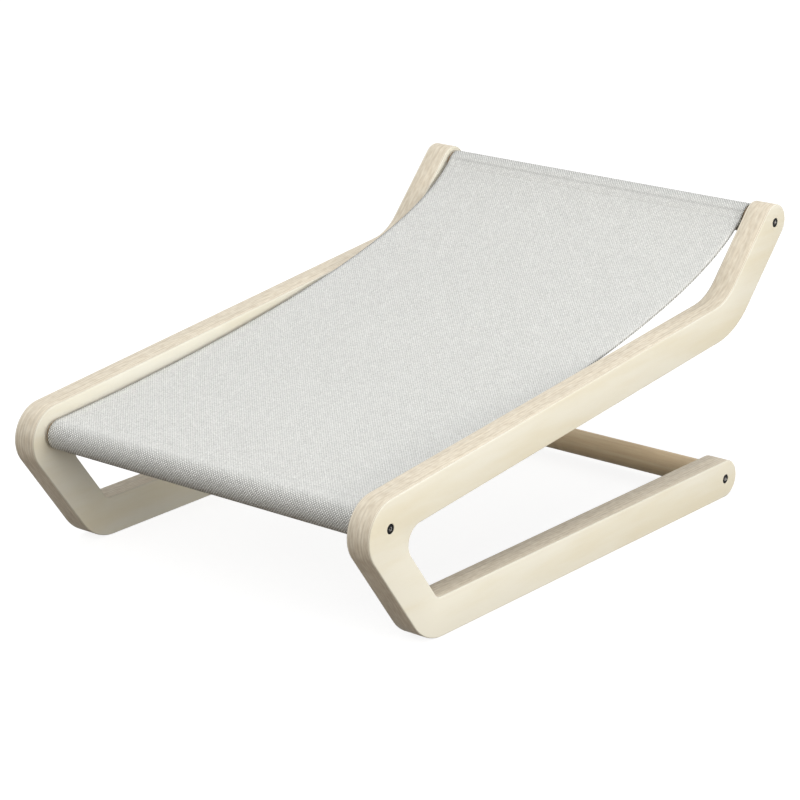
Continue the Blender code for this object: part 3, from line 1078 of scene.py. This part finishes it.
front_sleeve = sleeve_path(panel.front_slope, bar_centres["front"], at_head=False)
head_sleeve = sleeve_path(panel.head_slope, bar_centres["head"], at_head=True)
cloth_path = front_sleeve[::-1] + panel_path() + head_sleeve
cloth_length = sum((b - a).length for a, b in zip(cloth_path, cloth_path[1:]))
front_end = sum((b - a).length for a, b in zip(front_sleeve, front_sleeve[1:]))
front_end += (front_sleeve[0] - panel.path[0]).length
cloth_width = 2 * cloth_reach
print("flat cloth", round(cloth_width / MM, 1), "by", round(cloth_length / MM, 1), "mm")

# %% [markdown]
# ## The cloth
#
# The sling is light grey canvas in a plain weave. Its warp is a little lighter than its weft, each crown
# has its own lightness as spun yarns do, and the gaps between the yarns are painted darker, as painted
# shade. The weave uses the cloth's own map, which holds distances on the flat cloth, so that it follows
# the path. The same map tells where the cloth is bent round a bar, where the weft is painted darker still,
# as painted shade between the crowns, and where the long cut edges are, along which a dotted line is
# darker. Where the cloth leaves the head bar a thin, faint darker line runs along the bar: painted shade
# where the cloth turns from the bar to the panel.

# %% Canvas
yarn_relief = 0.62 * MM
cut_edge_width = 1.3 * MM
slub_size = 2.4 * MM
front_seam_line = seam_reach + 4.5 * MM
head_seam_line = seam_reach + 1.5 * MM
painted_crease_width = 1.3 * MM
WARP_PALE = (0.93, 0.935, 0.912, 1)
WEFT_GREY = (0.735, 0.74, 0.718, 1)
WEFT_IN_SHADE = (0.50, 0.505, 0.49, 1)
CUT_EDGE_GREY = (0.24, 0.24, 0.225, 1)


def canvas():
    material, graph, shader = new_material("grey_canvas", Specular_IOR_Level=0.2, Sheen_Weight=0.06,
                                           Sheen_Roughness=0.5)
    flat = own_map(graph, "cloth")
    weave = graph.use(plain_weave, {"Vector": flat, "Seed": 1.0})
    marks = handled(graph, object_place(graph), 14 * MM, 3.0)
    across, along, _ = graph.split(flat)
    slub = graph.noise(graph.vector(across / slub_size, along / (0.6 * slub_size), 4.0), detail=3.0)
    head_start = front_end + panel.length
    # Painted shade: round the bars the weft is painted darker, for the shadow between the crowns there.
    bent = graph.smooth(along, front_end + 2 * MM, front_end - 12 * MM) + graph.smooth(
        along, head_start - 2 * MM, head_start + 12 * MM)
    weft = graph.mix(bent, WEFT_GREY, WEFT_IN_SHADE)
    colour = graph.mix(weave["Warp On Top"], weft, WARP_PALE)
    colour = graph.shade(colour, 0.68 + 0.16 * weave["Crown Tone"] + 0.10 * weave["Fibre"] + 0.42 * slub)
    # Painted shade: the lower the yarn at a point, the darker, for the shadow in the gaps between the
    # crowns.
    weave_painted_shade = graph.smooth(weave["Height"], 0.10, 0.80, 0.76, 1.0)
    colour = graph.shade(colour, weave_painted_shade * (0.985 + 0.03 * marks["Smudge"]))
    # Painted shade: a thin darker line along the head bar, where the cloth turns from the bar to the panel.
    from_painted_crease = (along - head_start) / painted_crease_width
    crease_painted_shade = graph.math("EXPONENT", -1.0 * from_painted_crease * from_painted_crease)
    colour = graph.shade(colour, 1 - crease_painted_shade * (0.02 + 0.24 * slub))
    from_edge = cloth_reach - graph.math("ABSOLUTE", across)
    dotted = 1 - 0.35 * weave["Crown Tone"] - 0.55 * weave["Warp On Top"]
    ends = graph.smooth(from_edge, cut_edge_width, 0.3 * cut_edge_width) * dotted
    relief = weave["Relief"] * yarn_relief + weave["Fibre"] * 0.04 * MM
    cover(graph, shader, graph.mix(ends, colour, CUT_EDGE_GREY), 0.86 + 0.10 * weave["Fibre"], relief)
    return material


grey_canvas = canvas()

# %% [markdown]
# Geometry Nodes lay the cloth on its path. The tree starts from a flat grid, which is the cut cloth, and
# carries each row of the grid to its own point of the path. Three small movements make it cloth and not
# sheet metal: it is drawn in along the seams, it waves slightly between the bars, and its long edges
# are pulled in a little in the middle. Solidify then gives it its 1.2 mm.

# %% Lay the cloth
CLOTH_COLUMNS = 87
seam_depth = 0.28 * MM
seam_width = 1.6 * MM
wave_start, wave_full = 15 * MM, 90 * MM
wave_across, wave_along = 90 * MM, 70 * MM


def cloth_tree():
    inputs = {
        "Geometry": (SHAPE, None),
        "Width": (NUMBER, cloth_width),
        "Columns": ("NodeSocketInt", CLOTH_COLUMNS),
        "Front Tangent": (NUMBER, 0.0),
        "Head Tangent": (NUMBER, 0.0),
        "Front Seam": (NUMBER, front_seam_line),
        "Head Seam": (NUMBER, head_seam_line),
        "Seam Depth": (NUMBER, seam_depth),
        "Wave Height": (NUMBER, 0.35 * MM),
        "Drawn In": (NUMBER, 0.5 * MM),
        "Seed": (NUMBER, 6.0),
        "Canvas": ("NodeSocketMaterial", None),
    }
    tree, graph, given, end = new_group("GeometryNodeTree", "cloth_on_its_path", inputs,
                                        {"Geometry": SHAPE})
    path = given["Geometry"]
    rows = graph.wire("GeometryNodeAttributeDomainSize", {0: path}, component="CURVE")
    grid = graph.wire("GeometryNodeMeshGrid", {"Size X": 1.0, "Size Y": 1.0, "Vertices X": given["Columns"],
                                               "Vertices Y": rows})
    column, row, _ = graph.split(graph.wire("GeometryNodeInputPosition"))
    row_number = graph.math("ROUND", (row + 0.5) * (rows - 1))

    def on_path(kind, field):
        return graph.wire("GeometryNodeSampleIndex", {"Geometry": path, "Value": field,
                                                      "Index": row_number}, data_type=kind)

    along = on_path("FLOAT", graph.wire("GeometryNodeSplineParameter", output=1))
    point = on_path("FLOAT_VECTOR", graph.wire("GeometryNodeInputPosition"))
    tangent = on_path("FLOAT_VECTOR", graph.wire("GeometryNodeInputTangent"))
    across = column * given["Width"]
    mapped = graph.wire("GeometryNodeStoreNamedAttribute", {
        "Geometry": grid, "Name": "cloth", "Value": graph.vector(across, along)
    }, data_type="FLOAT2", domain="CORNER")

    def dip(centre):
        distance = (along - centre) / seam_width
        return graph.math("EXPONENT", -1.0 * distance * distance)

    front, head = given["Front Tangent"], given["Head Tangent"]
    between = graph.smooth(along, front + wave_start, front + wave_full) * graph.smooth(
        along, head - wave_start, head - wave_full)
    seams = dip(front + given["Front Seam"]) + dip(head - given["Head Seam"])
    wave_place = graph.vector(across / wave_across, along / wave_along, given["Seed"])
    wave = graph.noise(wave_place, detail=1.0)
    height = (wave - 0.5) * 2 * given["Wave Height"] * between - seams * given["Seam Depth"]
    _, point_y, point_z = graph.split(point)
    _, tangent_y, tangent_z = graph.split(tangent)
    drawn = across * (1 - 2 * given["Drawn In"] / given["Width"] * between)
    place = graph.vector(drawn, point_y - tangent_z * height, point_z + tangent_y * height)
    bent = graph.wire("GeometryNodeSetPosition", {"Geometry": mapped, "Position": place})
    smooth = graph.wire("GeometryNodeSetShadeSmooth", {0: bent, "Shade Smooth": True})
    graph.feed(end.inputs[0], finished(graph, smooth, given["Canvas"]))
    return tree


def path_object(name, points):
    """A poly curve through these points of the side plane, at the middle of the object's width."""
    curve = bpy.data.curves.new(name, "CURVE")
    curve.dimensions = "3D"
    spline = curve.splines.new("POLY")
    spline.points.add(len(points) - 1)
    for spot, point in zip(spline.points, points):
        spot.co = (0, point.x, point.y, 1)
    return link(name, curve)


def lay_cloth():
    host = path_object("cloth_path", cloth_path)
    inputs = {"Front Tangent": front_end, "Head Tangent": front_end + panel.length, "Canvas": grey_canvas}
    made = grown(host, cloth_tree(), "sling_cloth", inputs)
    thick = made.modifiers.new("thickness", "SOLIDIFY")
    thick.thickness = cloth_thickness
    thick.offset = 0
    thick.use_even_offset = True
    return made


cloth = lay_cloth()
print("cloth", len(cloth.data.polygons), "faces before its thickness")

# %% [markdown]
# ## The stitches
#
# Each sleeve is closed by one row of lockstitches in grey thread. Geometry Nodes repeat one stitch along
# a line on each side of both seams. A stitch is a short arc of thread that comes out of the cloth, lies
# on it and goes back in, and each one is turned and scaled by a little chance.

# %% Thread
THREAD_GREY = (0.66, 0.665, 0.64, 1)
THREAD_LIGHT = (0.78, 0.785, 0.76, 1)


def thread():
    material, graph, shader = new_material("grey_thread", Specular_IOR_Level=0.3, Sheen_Weight=0.15,
                                           Sheen_Roughness=0.4)
    x, y, z = graph.split(object_place(graph))
    twist = graph.math("SINE", (x * 2 + y + z) / (0.11 * MM))
    fuzz = graph.noise(graph.vector(x / (0.5 * MM), y / (0.5 * MM), z / (0.5 * MM)), detail=2.0)
    colour = graph.mix(0.3 + 0.2 * twist + 0.5 * fuzz, THREAD_GREY, THREAD_LIGHT)
    cover(graph, shader, colour, 0.65 + 0.15 * fuzz, twist * 0.02 * MM)
    return material


grey_thread = thread()

# %% Sew the seams
stitch_pitch = 3.2 * MM
stitch_length = 2.7 * MM
stitch_thread_diameter = 0.5 * MM
seam_end_gap = 2.5 * MM


def stitch_tree():
    inputs = {
        "Geometry": (SHAPE, None),
        "Pitch": (NUMBER, stitch_pitch),
        "Stitch Length": (NUMBER, stitch_length),
        "Thread Diameter": (NUMBER, stitch_thread_diameter),
        "Seed": ("NodeSocketInt", 8),
        "Thread": ("NodeSocketMaterial", None),
    }
    tree, graph, given, end = new_group("GeometryNodeTree", "stitches_along_the_seams", inputs,
                                        {"Geometry": SHAPE})
    half, thick = given["Stitch Length"] * 0.5, given["Thread Diameter"]
    arch = graph.wire("GeometryNodeCurveQuadraticBezier", {
        "Resolution": 6, "Start": graph.vector(-1.0 * half, 0.0, -0.9 * thick),
        "Middle": graph.vector(0.0, 0.0, 1.25 * thick), "End": graph.vector(half, 0.0, -0.9 * thick)})
    section = graph.wire("GeometryNodeCurvePrimitiveCircle", {"Resolution": 6, "Radius": 0.5 * thick})
    stitch = graph.wire("GeometryNodeCurveToMesh", {"Curve": arch, "Profile Curve": section,
                                                    "Fill Caps": True})
    lines = graph.wire("GeometryNodeMeshToCurve", {0: given["Geometry"]})
    spots = graph.wire("GeometryNodeResampleCurve", {"Curve": lines, "Length": given["Pitch"]},
                       mode="LENGTH")
    outside = graph.wire("GeometryNodeInputNamedAttribute", {"Name": "outside"}, data_type="FLOAT_VECTOR")
    facing = graph.wire("FunctionNodeAxesToRotation", {
        "Primary Axis": outside, "Secondary Axis": graph.wire("GeometryNodeInputTangent")
    }, primary_axis="Z", secondary_axis="X")
    chance = graph.wire("FunctionNodeRandomValue", {2: -0.07, 3: 0.07, "Seed": given["Seed"]}, output=1)
    turned = graph.wire("FunctionNodeRotateRotation", {
        0: facing, 1: graph.wire("FunctionNodeEulerToRotation", {0: graph.vector(0.0, 0.0, chance)})
    }, rotation_space="LOCAL")
    size = graph.wire("FunctionNodeRandomValue", {2: 0.93, 3: 1.07, "Seed": given["Seed"] + 1}, output=1)
    copies = graph.wire("GeometryNodeInstanceOnPoints", {"Points": spots, "Instance": stitch,
                                                         "Rotation": turned,
                                                         "Scale": graph.vector(size, 1.0, 1.0)})
    smooth = graph.wire("GeometryNodeSetShadeSmooth", {0: copies, "Shade Smooth": True})
    graph.feed(end.inputs[0], finished(graph, smooth, given["Thread"]))
    return tree


def sew():
    """One line on top of and one below each seam, each with the direction away from the cloth."""
    points, edges, outsides = [], [], []
    reach = cloth_reach - seam_end_gap
    layers = 2 * cloth_thickness + layer_gap
    for distance in (front_seam_line, panel.length - head_seam_line):
        middle = panel.at(distance)
        up = (panel.at(distance, 1.0) - middle).normalized()
        for height, sense in ((cloth_thickness / 2 - seam_depth, 1), (cloth_thickness / 2 - layers, -1)):
            spot = middle + up * height
            edges.append((len(points), len(points) + 1))
            for x in (-reach, reach):
                points.append((x, spot.x, spot.y))
                outsides.append((0.0, up.x * sense, up.y * sense))
    mesh = bpy.data.meshes.new("seam_lines")
    mesh.from_pydata(points, edges, [])
    mesh.attributes.new("outside", "FLOAT_VECTOR", "POINT").data.foreach_set(
        "vector", [number for outside in outsides for number in outside])
    host = link("seam_lines", mesh)
    made = grown(host, stitch_tree(), "sling_stitches", {"Thread": grey_thread})
    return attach(made, "root")


stitches = sew()
print("stitches", len(stitches.data.polygons), "faces")

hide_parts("sling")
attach(cloth, "root")

# %% [markdown]
# ## The studio
#
# The photograph is a product shot on pure white. The floor is pale and shows white to the camera, to
# mirrors and to glass, but it keeps the object's soft shadow. To the light that bounces it is a dark
# brown, because in the photograph the undersides get little light from below, and wood in shade looks
# warmer than lit wood.

# %% Floor
floor_half = 8.0
floor_drop = 0.1 * MM
FLOOR_BOUNCE = (0.12, 0.088, 0.054, 1)
FLOOR_SEEN = (0.30, 0.30, 0.30, 1)
floor_glow = 0.86


def seen_ray(graph):
    """1 for the rays that show a thing to the camera, a mirror or glass, and 0 for bounced light."""
    paths = graph.put("ShaderNodeLightPath")
    camera_or_mirror = graph.math("MAXIMUM", Wire(graph, paths.outputs["Is Camera Ray"]),
                                  Wire(graph, paths.outputs["Is Glossy Ray"]))
    return graph.math("MAXIMUM", camera_or_mirror, Wire(graph, paths.outputs["Is Transmission Ray"]))


def floor_paper():
    material = bpy.data.materials.new("floor_paper")
    material.use_nodes = True
    material.node_tree.nodes.clear()
    graph = Graph(material.node_tree)
    bounce = graph.wire("ShaderNodeBsdfDiffuse", {"Color": FLOOR_BOUNCE})
    lit = graph.wire("ShaderNodeBsdfDiffuse", {"Color": FLOOR_SEEN})
    glow = graph.wire("ShaderNodeEmission", {"Color": (1, 1, 1, 1), "Strength": floor_glow})
    shown = graph.wire("ShaderNodeAddShader", {0: lit, 1: glow})
    surface = graph.wire("ShaderNodeMixShader", {0: seen_ray(graph), 1: bounce, 2: shown})
    graph.put("ShaderNodeOutputMaterial", {"Surface": surface})
    return material


def floor():
    bm = bmesh.new()
    bmesh.ops.create_grid(bm, x_segments=1, y_segments=1, size=floor_half)
    bmesh.ops.translate(bm, vec=(0, 0, -floor_drop), verts=bm.verts)
    made = object_from(bm, "studio_floor", floor_paper())
    return made


print(floor().name, "under the object")

# %% World and lamps
sky_level = 0.74
SKY_TINT = (1.0, 1.0, 0.995, 1)
lamp_distance = 2.6
lamp_size = 1.3
WARM_WHITE = (1.0, 0.96, 0.88)
PLAIN_WHITE = (1.0, 1.0, 1.0)
SOFTBOXES = {
    "low_right_softbox": (85, 6, 0.65, WARM_WHITE),
    "front_softbox": (25, 40, 0.14, PLAIN_WHITE),
    "top_softbox": (100, 80, 0.26, PLAIN_WHITE),
}


def sky():
    world = bpy.data.worlds.new("studio_white")
    world.use_nodes = True
    world.node_tree.nodes.clear()
    graph = Graph(world.node_tree)
    light = graph.wire("ShaderNodeBackground", {"Color": SKY_TINT, "Strength": sky_level})
    white = graph.wire("ShaderNodeBackground", {"Color": (1, 1, 1, 1), "Strength": 1.0})
    surface = graph.wire("ShaderNodeMixShader", {0: seen_ray(graph), 1: light, 2: white})
    graph.put("ShaderNodeOutputWorld", {"Surface": surface})
    scene.world = world


def softbox(name, azimuth, elevation, level, tint):
    """A square lamp. Its level is how bright a white card that faces it would look, where 1 is white."""
    lamp = bpy.data.lights.new(name, "AREA")
    lamp.shape = "SQUARE"
    lamp.size = lamp_size
    lamp.color = tint
    lamp.energy = level * (math.pi * lamp_distance) ** 2
    back = outward(math.radians(azimuth), math.radians(elevation))
    target = Vector((0, 0, overall_height / 2))
    made = bpy.data.objects.new(name, lamp)
    made.matrix_world = aimed(target + back * lamp_distance, back)
    scene.collection.objects.link(made)
    return made


sky()
lamps = [softbox(name, *facts) for name, facts in SOFTBOXES.items()]
print("lamps", [lamp.name for lamp in lamps])
